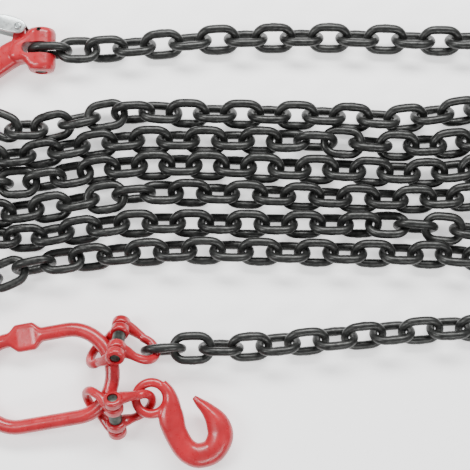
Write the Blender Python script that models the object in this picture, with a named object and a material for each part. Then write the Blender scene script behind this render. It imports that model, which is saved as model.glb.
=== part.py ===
"""Single-leg lifting chain sling, laid out flat with its spare chain folded into six rows.

The chain leaves the upper connecting link as a free run, turns at the right, is folded
into six rows, turns at the right again and ends as a second free run in the sling hook.
Metres, +Z up. The sling lies on the plane z = 0.
"""
import math

import bmesh
import bpy
from mathutils import Matrix, Vector

# ---------------------------------------------------------------- chain dimensions
WIRE_R = 0.00375  # radius of the chain wire
PITCH = 0.024  # inner length of a link under load
PITCH_SLACK = 0.0225  # distance between link joints where the chain turns sharply
LINK_WIDTH = 0.0204  # between the centres of a link's two side bars
LINK_LENGTH = 0.0321  # between the centres of a link's two crowns
LEAN = 42.5  # degrees, how far neighbouring links lean to either side
ROW_R = 0.0044  # half diagonal of the square bar that stands for the wire in the rows
ROW_JOIN = 0.0034  # crown reach past the joint where two links of a row are joined
ROW_FREE = 0.0050  # crown reach past the joint at the ends of a row
ROUTE_STEPS = 24  # points of the smooth route between two route points
SHIFT = Vector((-0.0052, -0.0057, 0.0007))  # puts the middle of the sling over the origin

# ---------------------------------------------------------------- connecting links
BOW_R = 0.0041  # radius of the bow's bar
BOW_REACH = 0.034  # pin axis to the centre of the bow's crown
BOW_HALF = 0.0126  # half width of the bow between bar centres
EYE_R = 0.0080
EYE_INNER = (0.0061, 0.0148)  # from the middle of the pin
EYE_OUTER = (0.0151, 0.0238)
PIN_R = 0.0040
PIN_LENGTH = 0.0455
PIN_BORE_R = 0.0044
SLEEVE_R = 0.0054
SLEEVE_LENGTH = 0.0114
UPPER_PIN = (-0.0966, -0.0893, 0.0257)
UPPER_TILT = 45.7  # degrees, the pin's end at the hook side is up
UPPER_SKEW = -3.5  # degrees about the vertical
UPPER_DROPS = (44.8, 23.0)  # master side and chain side, degrees below the horizontal
LOWER_PIN = (-0.0985, -0.1518, 0.0255)
LOWER_TILT = -49.6  # degrees, the other end is up
LOWER_SKEW = 2.3
LOWER_DROPS = (42.4, 28.0)

# ---------------------------------------------------------------- master link
RING_R = 0.0062  # radius of the bar
RING_STRAIGHT = 0.050
RING_HALF_WIDTH = 0.0365  # to the centre of the bar
RING_CROWN = 0.0336  # depth of each curved end
RING_CENTRE = (-0.1598, -0.1211, 0.0130)
RING_YAW = 9.6  # degrees
RING_RISE = 5.5  # degrees, the end at the connecting links lies higher
PAD_AT = -0.0105  # middle of the pressed flat, along the link
PAD_HALF_LENGTH = 0.0115
PAD_HALF_WIDTH = 0.0118
PAD_HALF_THICK = 0.0038

# ---------------------------------------------------------------- grab hook
GRAB_EYE = (-0.0694, -0.1375, 0.0178)
GRAB_EYE_R = 0.013  # middle of the eye's rim
GRAB_RIM = (0.0040, 0.0050)  # half width in the plane, half thickness
GRAB_HALF_THICK = 0.0080
GRAB_SLOPES = (-0.077, 0.020)  # rise per metre along +X and along +Y
GRAB_OUTLINE = [
    (0.0350, 0.0025), (0.0440, -0.0015), (0.0525, -0.0070), (0.0610, -0.0135),
    (0.0665, -0.0220), (0.0685, -0.0315), (0.0650, -0.0420), (0.0585, -0.0510),
    (0.0500, -0.0560), (0.0400, -0.0575), (0.0285, -0.0540), (0.0200, -0.0460),
    (0.0130, -0.0360), (0.0090, -0.0270), (0.0040, -0.0175), (0.0030, -0.0120),
    (0.0095, -0.0075), (0.0120, 0.0000), (0.0100, 0.0070), (0.0060, 0.0110),
    (0.0080, 0.0160), (0.0150, 0.0120), (0.0230, -0.0025), (0.0300, -0.0195),
    (0.0340, -0.0310), (0.0365, -0.0350), (0.0405, -0.0365), (0.0445, -0.0350),
    (0.0465, -0.0310), (0.0455, -0.0240), (0.0395, -0.0110), (0.0340, -0.0010),
]

# ---------------------------------------------------------------- sling hook
CLEVIS_EAR_R = 0.0120
CLEVIS_WIDTH = 0.039
CLEVIS_HALF_THICK = 0.0112
HOOK_HALF_THICK = 0.0085
HOOK_TILT = 2.0  # degrees, the bowl lies lower than the pin
CLEVIS_PIN_R = 0.0050
CLEVIS_BORE_R = 0.0054
CLEVIS_PIN_LENGTH = 0.0372
LINK_TO_PIN = 0.00915  # centre of the last link's crown to the clevis pin's axis
ROLL_PIN_R = 0.0016
ROLL_PIN_BORE_R = 0.0020
ROLL_PIN_LENGTH = 0.0236
ROLL_PIN_AT = (-0.0010, 0.0160)
SLOT_HALF = 0.0049
SLOT_DEPTH = 0.0158
CLEVIS_OUTLINE = [
    (0.0005, 0.0194), (-0.0080, 0.0194), (-0.0125, 0.0165), (-0.0145, 0.0120),
    (-0.0230, 0.0090), (-0.0230, -0.0130), (-0.0140, -0.0150), (-0.0080, -0.0194),
    (0.0005, -0.0194),
]
HOOK_OUTLINE = [
    (-0.0140, 0.0140), (-0.0140, -0.0150), (-0.0315, -0.0204), (-0.0480, -0.0300),
    (-0.0620, -0.0390), (-0.0780, -0.0414), (-0.0945, -0.0392), (-0.1080, -0.0300),
    (-0.1160, -0.0140), (-0.1170, 0.0030), (-0.1110, 0.0190), (-0.1000, 0.0320),
    (-0.0860, 0.0410), (-0.0720, 0.0450), (-0.0600, 0.0455), (-0.0520, 0.0440),
    (-0.0475, 0.0400), (-0.0485, 0.0360), (-0.0540, 0.0340), (-0.0680, 0.0315),
    (-0.0800, 0.0265), (-0.0900, 0.0155), (-0.0940, 0.0030), (-0.0910, -0.0090),
    (-0.0830, -0.0175), (-0.0720, -0.0200), (-0.0600, -0.0165), (-0.0480, -0.0080),
    (-0.0400, 0.0005), (-0.0315, 0.0050), (-0.0260, 0.0085),
]
LUG_HALF_THICK = 0.0030
LUG_OUTLINE = [
    (-0.0242, 0.0196), (-0.0265, 0.0060), (-0.0140, 0.0100), (-0.0150, 0.0196),
    (-0.0164, 0.0228), (-0.0196, 0.0242), (-0.0228, 0.0228),
]

# ---------------------------------------------------------------- latch
LATCH_PIVOT = (-0.0196, 0.0196)  # in the sling hook's plane, from the clevis pin
LATCH_HALF_THICK = 0.0087
LATCH_SHEET = 0.0015
LATCH_BORE_R = 0.0026
LATCH_PIN_R = 0.0022
LATCH_PIN_HEAD = (0.0037, 0.0012)  # radius, height
LATCH_OUTLINE = [
    (-0.0132, 0.0190), (-0.0148, 0.0240), (-0.0210, 0.0274), (-0.0300, 0.0300),
    (-0.0420, 0.0316), (-0.0530, 0.0318), (-0.0545, 0.0290), (-0.0530, 0.0250),
    (-0.0450, 0.0200), (-0.0330, 0.0160), (-0.0215, 0.0134), (-0.0160, 0.0143),
]
LATCH_CAVITY = [
    (-0.0100, 0.0140), (-0.0100, 0.0190), (-0.0160, 0.0229), (-0.0215, 0.0257),
    (-0.0304, 0.0284), (-0.0422, 0.0300), (-0.0600, 0.0302), (-0.0600, 0.0100),
    (-0.0300, 0.0100),
]
SPRING_WIRE_R = 0.0005
SPRING_R = 0.0034
SPRING_TURNS = 2.5
SPRING_Z = (0.0039, 0.0064)
SPRING_STEPS = 30

# The chain's route in plan: sections of (x, y, twist in degrees), with the joint spacing.
ROUTE = [
    ("bottom_run", 0.0241, [
        (-0.0720, -0.0980, 36), (-0.0350, -0.0956, 54), (-0.0110, -0.0960, 68),
        (0.0120, -0.0950, 80), (0.0600, -0.0905, 85), (0.1090, -0.0855, 85),
        (0.1570, -0.0810, 85)]),
    ("turn_1", 0.0230, [
        (0.2100, -0.0790, 85), (0.2515, -0.0860, 90), (0.2745, -0.0600, 95),
        (0.2515, -0.0318, 95)]),
    ("row_6", PITCH, [
        (0.2000, -0.0190, 95), (0.1400, -0.0165, 95), (0.0800, -0.0155, 95),
        (0.0200, -0.0145, 95), (-0.0400, -0.0135, 95), (-0.0900, -0.0160, 95),
        (-0.1300, -0.0200, 95)]),
    ("turn_2", PITCH_SLACK, [
        (-0.1830, -0.0290, 50), (-0.2250, -0.0480, 60), (-0.2545, -0.0430, 70),
        (-0.2640, -0.0260, 80), (-0.2520, -0.0075, 85), (-0.2225, -0.0030, 85)]),
    ("row_5", 0.0238, [
        (-0.1750, -0.0030, 85), (-0.1300, 0.0045, 85), (-0.0900, 0.0095, 85),
        (-0.0400, 0.0100, 85), (0.0200, 0.0092, 85), (0.0800, 0.0090, 85),
        (0.1300, 0.0085, 100), (0.1740, 0.0055, 155)]),
    ("turn_3", PITCH_SLACK, [
        (0.2210, 0.0010, 165), (0.2535, -0.0020, 150), (0.2695, 0.0180, 130),
        (0.2535, 0.0390, 110), (0.2240, 0.0350, 100)]),
    ("row_4", 0.0240, [
        (0.1760, 0.0310, 95), (0.1290, 0.0305, 95), (0.0560, 0.0330, 95),
        (-0.0160, 0.0355, 95), (-0.0640, 0.0365, 90), (-0.1110, 0.0322, 30),
        (-0.1560, 0.0240, 5)]),
    ("turn_4", PITCH_SLACK, [
        (-0.1960, 0.0184, 5), (-0.2370, 0.0195, 5), (-0.2650, 0.0100, 10),
        (-0.2885, 0.0146, 22), (-0.2960, 0.0315, 20), (-0.2880, 0.0490, 30),
        (-0.2650, 0.0530, 40), (-0.2370, 0.0452, 45)]),
    ("row_3", 0.0234, [
        (-0.1880, 0.0443, 45), (-0.1590, 0.0481, 20), (-0.1160, 0.0563, -5),
        (-0.0720, 0.0600, -5), (-0.0240, 0.0600, -5), (0.0460, 0.0570, -5),
        (0.0940, 0.0560, -5), (0.1400, 0.0535, -5)]),
    ("turn_5", PITCH_SLACK, [
        (0.1860, 0.0545, -5), (0.2360, 0.0630, -5), (0.2740, 0.0540, 0),
        (0.3000, 0.0580, 0), (0.3090, 0.0765, 0), (0.3000, 0.0950, 0),
        (0.2740, 0.0970, 0), (0.2380, 0.0880, 5)]),
    ("row_2", 0.0236, [
        (0.1850, 0.0790, 5), (0.1390, 0.0770, 5), (0.0930, 0.0800, 35),
        (0.0460, 0.0815, 90), (-0.0240, 0.0818, 95), (-0.0940, 0.0815, 95),
        (-0.1410, 0.0748, 95)]),
    ("turn_6", PITCH_SLACK, [
        (-0.1890, 0.0665, 95), (-0.2240, 0.0668, 105), (-0.2540, 0.0718, 120),
        (-0.2645, 0.0890, 135), (-0.2540, 0.1056, 150), (-0.2240, 0.1038, 165)]),
    ("row_1", 0.0235, [
        (-0.1830, 0.0899, 175), (-0.1380, 0.0985, 170), (-0.0920, 0.1065, 110),
        (-0.0450, 0.1058, 85), (0.0270, 0.1046, 85), (0.0980, 0.1025, 85),
        (0.1330, 0.0998, 85)]),
    ("turn_7", 0.0230, [
        (0.1870, 0.1068, 85), (0.2310, 0.1160, 90), (0.2535, 0.1420, 95),
        (0.2330, 0.1680, 95)]),
    ("top_run", 0.0243, [
        (0.1790, 0.1700, 95), (0.1290, 0.1715, 95), (0.0810, 0.1728, 95),
        (0.0330, 0.1726, 95), (-0.0170, 0.1713, 95), (-0.0650, 0.1670, 95),
        (-0.1120, 0.1627, 85), (-0.1610, 0.1610, 47.5), (-0.1910, 0.1610, 47.5)]),
]


# ---------------------------------------------------------------- scene helpers
def clear_scene():
    """Removes every object that the scene starts with."""
    for item in list(bpy.data.objects):
        bpy.data.objects.remove(item, do_unlink=True)


def material(name, colour, roughness, metallic):
    """A plain Principled material."""
    made = bpy.data.materials.new(name)
    made.use_nodes = True
    shader = made.node_tree.nodes["Principled BSDF"]
    shader.inputs["Base Color"].default_value = (*colour, 1.0)
    shader.inputs["Roughness"].default_value = roughness
    shader.inputs["Metallic"].default_value = metallic
    made.diffuse_color = (*colour, 1.0)
    return made


def chain_steel():
    return material("chain_steel", (0.030, 0.030, 0.031), 0.42, 0.75)


def red_paint():
    return material("red_paint", (0.62, 0.030, 0.045), 0.32, 0.0)


def pin_steel():
    return material("pin_steel", (0.035, 0.042, 0.036), 0.45, 0.8)


def zinc_sheet():
    return material("zinc_sheet", (0.55, 0.58, 0.58), 0.38, 0.9)


def spring_steel():
    return material("spring_steel", (0.30, 0.30, 0.30), 0.35, 1.0)


def frame(origin, x_axis, y_axis):
    """A matrix at origin with the given X direction, and Y as near y_axis as it can be."""
    x = Vector(x_axis).normalized()
    y = Vector(y_axis)
    y = (y - x * y.dot(x)).normalized()
    z = x.cross(y)
    rows = [(x[i], y[i], z[i], origin[i]) for i in range(3)]
    return Matrix(rows + [(0.0, 0.0, 0.0, 1.0)])


def put(name, bm, skin, matrix, smooth=True):
    """Makes an object from a bmesh, places it and shades it."""
    bmesh.ops.recalc_face_normals(bm, faces=bm.faces)
    mesh = bpy.data.meshes.new(name)
    bm.to_mesh(mesh)
    bm.free()
    mesh.polygons.foreach_set("use_smooth", [smooth] * len(mesh.polygons))
    mesh.materials.append(skin)
    item = bpy.data.objects.new(name, mesh)
    item.matrix_world = matrix
    bpy.context.scene.collection.objects.link(item)
    return item


def boolean(item, cutter, operation):
    """Adds a Boolean with a hidden cutter object."""
    cutter.hide_render = True
    cutter.display_type = "WIRE"
    step = item.modifiers.new(cutter.name, "BOOLEAN")
    step.operation = operation
    step.object = cutter


def bevel(item, width, segments=1):
    """Rounds the sharp edges of an extruded outline."""
    step = item.modifiers.new("rounding", "BEVEL")
    step.width = width
    step.segments = segments
    step.limit_method = "ANGLE"
    step.angle_limit = math.radians(50)


# ---------------------------------------------------------------- shape helpers
def sweep(rings, closed):
    """A closed solid through rings of points, joined end to end or capped."""
    bm = bmesh.new()
    loops = [[bm.verts.new(point) for point in ring] for ring in rings]
    count = len(loops[0])
    pairs = list(zip(loops, loops[1:]))
    if closed:
        pairs.append((loops[-1], loops[0]))
    for first, second in pairs:
        for k in range(count):
            nxt = (k + 1) % count
            bm.faces.new((first[k], first[nxt], second[nxt], second[k]))
    if not closed:
        bm.faces.new(loops[0])
        bm.faces.new(loops[-1])
    return bm


def tube_rings(path, radii, sides, up, closed=False):
    """Rings of points around a path; radii are (across, along up) for each path point."""
    rings = []
    last = len(path) - 1
    for i, here in enumerate(path):
        before = path[i - 1] if i > 0 or closed else here
        after = path[(i + 1) % len(path)] if i < last or closed else here
        along = (after - before).normalized()
        across = along.cross(up).normalized()
        over = across.cross(along).normalized()
        wide, thick = radii[i]
        ring = []
        for k in range(sides):
            angle = math.tau * (k + 0.5) / sides
            offset = across * (wide * math.cos(angle)) + over * (thick * math.sin(angle))
            ring.append(here + offset)
        rings.append(ring)
    return rings


def extruded(outline, half_thick):
    """A plate with the given outline in its XY plane, centred on Z."""
    low = [Vector((x, y, -half_thick)) for x, y in outline]
    high = [Vector((x, y, half_thick)) for x, y in outline]
    return sweep([low, high], closed=False)


def cylinder(radius, length, sides, axis="Z"):
    """A cylinder centred on the origin along one axis."""
    turn = {"X": Matrix.Rotation(math.pi / 2, 4, "Y"), "Y": Matrix.Rotation(math.pi / 2, 4, "X")}
    bm = bmesh.new()
    bmesh.ops.create_cone(
        bm, cap_ends=True, segments=sides, radius1=radius, radius2=radius, depth=length,
        matrix=turn.get(axis, Matrix.Identity(4)))
    return bm


def shell_tube(outer, inner, length, sides):
    """A bush along Y, open at both ends."""
    profile = [(outer, -1), (outer, 1), (inner, 1), (inner, -1)]
    rings = []
    for k in range(sides):
        angle = math.tau * k / sides
        rings.append([
            Vector((r * math.cos(angle), side * length / 2, r * math.sin(angle)))
            for r, side in profile])
    return sweep(rings, closed=True)


# ---------------------------------------------------------------- the chain
def smooth_route():
    """Dense (x, y, twist, section, spacing) points on a smooth curve through ROUTE."""
    knots = [(*point, name, gap) for name, gap, points in ROUTE for point in points]
    dense = []
    for i in range(len(knots) - 1):
        near = [knots[max(i - 1, 0)], knots[i], knots[i + 1], knots[min(i + 2, len(knots) - 1)]]
        for k in range(ROUTE_STEPS):
            f = k / ROUTE_STEPS
            weights = (
                (-f + 2 * f**2 - f**3) / 2, (2 - 5 * f**2 + 3 * f**3) / 2,
                (f + 4 * f**2 - 3 * f**3) / 2, (f**3 - f**2) / 2)
            x = sum(w * knot[0] for w, knot in zip(weights, near))
            y = sum(w * knot[1] for w, knot in zip(weights, near))
            twist = near[1][2] * (1 - f) + near[2][2] * f
            dense.append((x, y, twist, *near[1][3:]))
    return dense + [knots[-1]]


def chain_joints():
    """The points where neighbouring links meet, one spacing apart along the route."""
    dense = smooth_route()
    found = [dense[0]]
    for start, end in zip(dense, dense[1:]):
        while math.dist(end[:2], found[-1][:2]) >= found[-1][4]:
            near, far = 0.0, 1.0
            for _ in range(30):
                middle = (near + far) / 2
                spot = [start[k] + (end[k] - start[k]) * middle for k in range(3)]
                if math.dist(spot[:2], found[-1][:2]) < found[-1][4]:
                    near = middle
                else:
                    far = middle
            found.append((*spot, *start[3:]))
    return found


def chain_links():
    """Every link: its section, its two joints, its direction, and the way its width lies."""
    joints = chain_joints()
    rolls = []
    for i in range(len(joints) - 1):
        lean = LEAN if i % 2 == 0 else -LEAN
        rolls.append(math.radians(lean + (joints[i][2] + joints[i + 1][2]) / 2))
    heights = [WIRE_R + LINK_WIDTH / 2 * abs(math.sin(roll)) for roll in rolls]
    points = []
    for i, joint in enumerate(joints):
        height = max(heights[max(i - 1, 0)], heights[min(i, len(heights) - 1)])
        points.append(Vector((joint[0], joint[1], height)) + SHIFT)
    links = []
    for i, roll in enumerate(rolls):
        along = (points[i + 1] - points[i]).normalized()
        side = Vector((0.0, 0.0, 1.0)).cross(along).normalized()
        over = along.cross(side)
        width = side * math.cos(roll) + over * math.sin(roll)
        links.append((joints[i][3], points[i], points[i + 1], along, width))
    return links


def link_rings(start, end, along, width, reaches, bar_r, sides, stations):
    """Rings around one link; reaches are how far its crowns pass its two joints."""
    normal = along.cross(width)
    half = LINK_WIDTH / 2
    centres = (end + along * (reaches[1] - half), start - along * (reaches[0] - half))
    per_end = stations // 2
    step = math.pi / per_end
    stretch = 1 / math.cos(step / 2)
    rings = []
    for which, centre in enumerate(centres):
        for k in range(per_end):
            angle = math.pi / 2 - step * (k + 0.5) - math.pi * which
            out = along * math.cos(angle) + width * math.sin(angle)
            ring = []
            for n in range(sides):
                turn = math.tau * n / sides
                offset = out * (bar_r * math.cos(turn) * stretch) + normal * (bar_r * math.sin(turn))
                ring.append(centre + out * (half * stretch) + offset)
            rings.append(ring)
    return rings


def free_link(name, link, pivot, skin):
    """One separate link, with its origin on the crown that it turns about."""
    _, start, end, along, width = link
    matrix = frame(pivot, along, width)
    inverse = matrix.inverted()
    reach = (LINK_LENGTH - PITCH) / 2
    rings = link_rings(start, end, along, width, (reach, reach), WIRE_R, 6, 12)
    rings = [[inverse @ point for point in ring] for ring in rings]
    return put(name, sweep(rings, closed=True), skin, matrix)


def joined_links(name, links, skin):
    """A stretch of resting chain as one solid: every other link, joined to those between."""
    origin = (links[0][1] + links[-1][2]) / 2
    matrix = Matrix.Translation(origin)
    halves = []
    for parity in range(2):
        bm = bmesh.new()
        for i in range(parity, len(links), 2):
            _, start, end, along, width = links[i]
            reaches = (
                ROW_FREE if i == 0 else ROW_JOIN,
                ROW_FREE if i == len(links) - 1 else ROW_JOIN)
            rings = link_rings(
                start - origin, end - origin, along, width, reaches, ROW_R, 4, 8)
            part = sweep(rings, closed=True)
            mesh = bpy.data.meshes.new("part")
            part.to_mesh(mesh)
            part.free()
            bm.from_mesh(mesh)
            bpy.data.meshes.remove(mesh)
        halves.append(bm)
    row = put(name, halves[0], skin, matrix, smooth=False)
    between = put(name + "_between", halves[1], skin, matrix, smooth=False)
    boolean(row, between, "UNION")
    return row


def chain(skin):
    """The free links, the rows and the turns. Gives back the first and the last link."""
    links = chain_links()
    reach = (LINK_LENGTH - PITCH) / 2
    bottom = [link for link in links if link[0] == "bottom_run"]
    top = [link for link in links if link[0] == "top_run"]
    for i, link in enumerate(bottom):
        parent = links[i + 1]
        free_link(f"bottom_link_{i + 1:02d}", link, parent[1] - parent[3] * reach, skin)
    for i, link in enumerate(top):
        parent = links[len(links) - len(top) + i - 1]
        free_link(f"top_link_{i + 1:02d}", link, parent[2] + parent[3] * reach, skin)
    for name, _, _ in ROUTE:
        if name not in ("bottom_run", "top_run"):
            joined_links(name, [link for link in links if link[0] == name], skin)
    return links[0], links[-1]


# ---------------------------------------------------------------- connecting links
def pin_axes(tilt, skew, drop, side):
    """Directions of a connecting link's half: outwards, and along the pin."""
    tilt, turn, fall = math.radians(tilt), math.radians(skew), math.radians(drop)
    pin = Vector((
        math.sin(turn) * math.cos(tilt), -math.cos(turn) * math.cos(tilt), math.sin(tilt)))
    level = Vector((math.cos(turn), math.sin(turn), 0.0)) * side
    level = (level - pin * level.dot(pin)).normalized()
    down = pin.cross(level)
    if down.z > 0:
        down = -down
    return level * math.cos(fall) + down * math.sin(fall), pin


def bow_path(outer_side):
    """Centre line of a half, from its outer eye round the crown to its inner eye."""
    outer, inner = sum(EYE_OUTER) / 2, sum(EYE_INNER) / 2
    centre = BOW_REACH - BOW_HALF
    points = [(outer, 0.0), (outer - 0.0012, 0.008), (0.0145, centre - 0.003)]
    for k in range(9):
        angle = math.pi * k / 8
        points.append((BOW_HALF * math.cos(angle), centre + BOW_HALF * math.sin(angle)))
    points += [(-0.0124, centre - 0.006), (-inner - 0.0003, 0.008), (-inner, 0.0)]
    return [Vector((out, along * outer_side, 0.0)) for along, out in points]


def half_link(name, origin, out, pin, outer_side, skin):
    """One half of a connecting link: a bow with an outer eye, an inner eye and their bore."""
    matrix = frame(origin, out, pin)
    path = bow_path(outer_side)
    radii = [(BOW_R * 1.1, BOW_R * 1.1)] * 3 + [(BOW_R, BOW_R)] * 9
    radii += [(BOW_R * 1.1, BOW_R * 1.1)] * 3
    bow = put(name, sweep(tube_rings(path, radii, 8, Vector((0, 0, 1))), False), skin, matrix)
    for label, span, side in (("outer", EYE_OUTER, outer_side), ("inner", EYE_INNER, -outer_side)):
        middle = Vector((0.0, side * sum(span) / 2, 0.0))
        eye = put(
            f"{name}_{label}_eye", cylinder(EYE_R, span[1] - span[0], 16, "Y"), skin,
            matrix @ Matrix.Translation(middle))
        boolean(bow, eye, "UNION")
    bore = put(
        f"{name}_bore", cylinder(PIN_BORE_R, 3 * EYE_OUTER[1], 16, "Y"), skin, matrix)
    boolean(bow, bore, "DIFFERENCE")
    gap = put(
        f"{name}_gap", cylinder(EYE_R + 0.004, 2 * EYE_INNER[0] - 0.0001, 16, "Y"), skin, matrix)
    boolean(bow, gap, "DIFFERENCE")
    for label, span, side in (("inner", EYE_INNER, outer_side), ("outer", EYE_OUTER, -outer_side)):
        width = span[1] - span[0] + 0.0006
        middle = Vector((0.0, side * sum(span) / 2, 0.0))
        room = put(
            f"{name}_{label}_room", cylinder(EYE_R + 0.0004, width, 16, "Y"), skin,
            matrix @ Matrix.Translation(middle))
        boolean(bow, room, "DIFFERENCE")
    return bow


def connecting_link(prefix, names, origin, tilt, skew, drops, skins):
    """Two halves, the load pin and the spring sleeve that holds it."""
    origin = Vector(origin) + SHIFT
    out, pin = pin_axes(tilt, skew, drops[0], -1)
    half_link(f"{prefix}_{names[0]}", origin, out, pin, 1, skins["paint"])
    out, pin = pin_axes(tilt, skew, drops[1], 1)
    half_link(f"{prefix}_{names[1]}", origin, out, pin, -1, skins["paint"])
    matrix = frame(origin, out, pin)
    put(f"{prefix}_load_pin", cylinder(PIN_R, PIN_LENGTH, 12, "Y"), skins["pin"], matrix)
    sleeve = shell_tube(SLEEVE_R, PIN_BORE_R, SLEEVE_LENGTH, 12)
    put(f"{prefix}_spring_sleeve", sleeve, skins["pin"], matrix)


# ---------------------------------------------------------------- master link
def master_link(skin):
    """An oblong ring with a pressed flat on one side."""
    path, radii = [], []
    for end in (1, -1):
        for k in range(9):
            angle = end * math.pi / 2 - math.pi * k / 8
            path.append(Vector((
                end * RING_STRAIGHT / 2 + RING_CROWN * math.cos(angle),
                RING_HALF_WIDTH * math.sin(angle), 0.0)))
            radii.append((RING_R, RING_R))
    flat = (PAD_HALF_WIDTH, RING_R)
    necks = [
        (PAD_AT - PAD_HALF_LENGTH - 0.0025, (RING_R, RING_R)),
        (PAD_AT - PAD_HALF_LENGTH * 0.6, flat), (PAD_AT + PAD_HALF_LENGTH * 0.6, flat),
        (PAD_AT + PAD_HALF_LENGTH + 0.0025, (RING_R, RING_R))]
    for x, size in necks:
        path.append(Vector((x, RING_HALF_WIDTH, 0.0)))
        radii.append(size)
    rings = tube_rings(path, radii, 12, Vector((0, 0, 1)), closed=True)
    for ring in rings[-3:-1]:
        for point in ring:
            point.z = max(-PAD_HALF_THICK, min(PAD_HALF_THICK, point.z))
    yaw, rise = math.radians(RING_YAW), math.radians(RING_RISE)
    x_axis = (math.cos(yaw) * math.cos(rise), math.sin(yaw) * math.cos(rise), math.sin(rise))
    matrix = frame(Vector(RING_CENTRE) + SHIFT, x_axis, (-math.sin(yaw), math.cos(yaw), 0.0))
    put("master_link", sweep(rings, closed=True), skin, matrix)


# ---------------------------------------------------------------- grab hook
def grab_hook(skin):
    """A forged hook with a narrow slot that takes one chain link, and an eye."""
    matrix = frame(
        Vector(GRAB_EYE) + SHIFT, (1.0, 0.0, GRAB_SLOPES[0]), (0.0, 1.0, GRAB_SLOPES[1]))
    path, radii = [], []
    for k in range(16):
        angle = math.tau * k / 16
        path.append(Vector((math.cos(angle), math.sin(angle), 0.0)) * GRAB_EYE_R)
        radii.append(GRAB_RIM)
    rings = tube_rings(path, radii, 8, Vector((0, 0, 1)), closed=True)
    body = put("grab_hook", extruded(GRAB_OUTLINE, GRAB_HALF_THICK), skin, matrix)
    bevel(body, 0.0025)
    rim = put("grab_hook_eye", sweep(rings, closed=True), skin, matrix)
    boolean(body, rim, "UNION")


# ---------------------------------------------------------------- sling hook
def sling_hook_frame(last):
    """The sling hook's frame, with its origin in the middle of the clevis pin."""
    reach = (LINK_LENGTH - PITCH) / 2
    crown = last[2] + last[3] * reach
    origin = crown - last[3] * LINK_TO_PIN
    fall = math.radians(HOOK_TILT)
    return frame(origin, (math.cos(fall), 0.0, math.sin(fall)), (0.0, 1.0, 0.0))


def sling_hook_body(matrix, skin):
    """The hook with its clevis, its latch lug and the bores for its pins."""
    body = put("sling_hook_body", extruded(HOOK_OUTLINE, HOOK_HALF_THICK), skin, matrix)
    bevel(body, 0.0025)
    clevis = put("clevis_block", extruded(CLEVIS_OUTLINE, CLEVIS_HALF_THICK), skin, matrix)
    bevel(clevis, 0.003)
    boolean(body, clevis, "UNION")
    ears = put("clevis_ears", cylinder(CLEVIS_EAR_R, CLEVIS_WIDTH, 20, "Y"), skin, matrix)
    boolean(body, ears, "UNION")
    lug = put("latch_lug", extruded(LUG_OUTLINE, LUG_HALF_THICK), skin, matrix)
    boolean(body, lug, "UNION")
    slot_outline = [
        (-SLOT_DEPTH, -SLOT_HALF), (0.03, -SLOT_HALF), (0.03, SLOT_HALF), (-SLOT_DEPTH, SLOT_HALF)]
    slot = put("clevis_slot", extruded(slot_outline, 0.03), skin, matrix)
    boolean(body, slot, "DIFFERENCE")
    bore = put("clevis_bore", cylinder(CLEVIS_BORE_R, 0.06, 16, "Y"), skin, matrix)
    boolean(body, bore, "DIFFERENCE")
    roll_bore = put(
        "roll_pin_bore", cylinder(ROLL_PIN_BORE_R, 0.06, 12), skin,
        matrix @ Matrix.Translation((*ROLL_PIN_AT, 0.0)))
    boolean(body, roll_bore, "DIFFERENCE")
    latch_bore = put(
        "latch_bore", cylinder(LATCH_BORE_R, 0.06, 12), skin,
        matrix @ Matrix.Translation((*LATCH_PIVOT, 0.0)))
    boolean(body, latch_bore, "DIFFERENCE")


def clevis_pins(matrix, skin):
    """The load pin through the clevis, and the roll pin that locks it."""
    pin = put("clevis_pin", cylinder(CLEVIS_PIN_R, CLEVIS_PIN_LENGTH, 16, "Y"), skin, matrix)
    at = matrix @ Matrix.Translation((*ROLL_PIN_AT, 0.0))
    bore = put("clevis_pin_bore", cylinder(ROLL_PIN_BORE_R, 0.03, 12), skin, at)
    boolean(pin, bore, "DIFFERENCE")
    put("clevis_roll_pin", cylinder(ROLL_PIN_R, ROLL_PIN_LENGTH, 10), skin, at)


def latch(matrix, skin):
    """A folded sheet latch, with its origin on its pivot."""
    at = matrix @ Matrix.Translation((*LATCH_PIVOT, 0.0))
    px, py = LATCH_PIVOT
    outline = [(x - px, y - py) for x, y in LATCH_OUTLINE]
    cavity = [(x - px, y - py) for x, y in LATCH_CAVITY]
    plate = put("latch", extruded(outline, LATCH_HALF_THICK), skin, at)
    room = put("latch_room", extruded(cavity, LATCH_HALF_THICK - LATCH_SHEET), skin, at)
    boolean(plate, room, "DIFFERENCE")
    bore = put("latch_plate_bore", cylinder(LATCH_BORE_R, 0.06, 12), skin, at)
    boolean(plate, bore, "DIFFERENCE")


def latch_pin(matrix, skin):
    """A rivet with a head on each side of the latch."""
    head_r, head = LATCH_PIN_HEAD
    side = LATCH_HALF_THICK + 0.0003
    profile = [(head_r, side + head), (head_r, side), (LATCH_PIN_R, side)]
    profile += [(r, -z) for r, z in reversed(profile)]
    rings = []
    for r, z in profile:
        rings.append([
            Vector((r * math.cos(math.tau * k / 12), r * math.sin(math.tau * k / 12), z))
            for k in range(12)])
    put("latch_pin", sweep(rings, closed=False), skin,
        matrix @ Matrix.Translation((*LATCH_PIVOT, 0.0)))


def latch_spring(matrix, skin):
    """The torsion spring round the latch pin, with one straight leg."""
    path = []
    for k in range(SPRING_STEPS + 1):
        angle = math.tau * SPRING_TURNS * k / SPRING_STEPS - math.radians(80)
        height = SPRING_Z[0] + (SPRING_Z[1] - SPRING_Z[0]) * k / SPRING_STEPS
        path.append(Vector((SPRING_R * math.cos(angle), SPRING_R * math.sin(angle), height)))
    leg = Vector((-math.sin(angle), math.cos(angle), 0.0))
    path.append(path[-1] + leg * 0.007)
    radii = [(SPRING_WIRE_R, SPRING_WIRE_R)] * len(path)
    rings = tube_rings(path, radii, 5, Vector((0, 0, 1)))
    put("latch_spring", sweep(rings, closed=False), skin,
        matrix @ Matrix.Translation((*LATCH_PIVOT, 0.0)))


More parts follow.
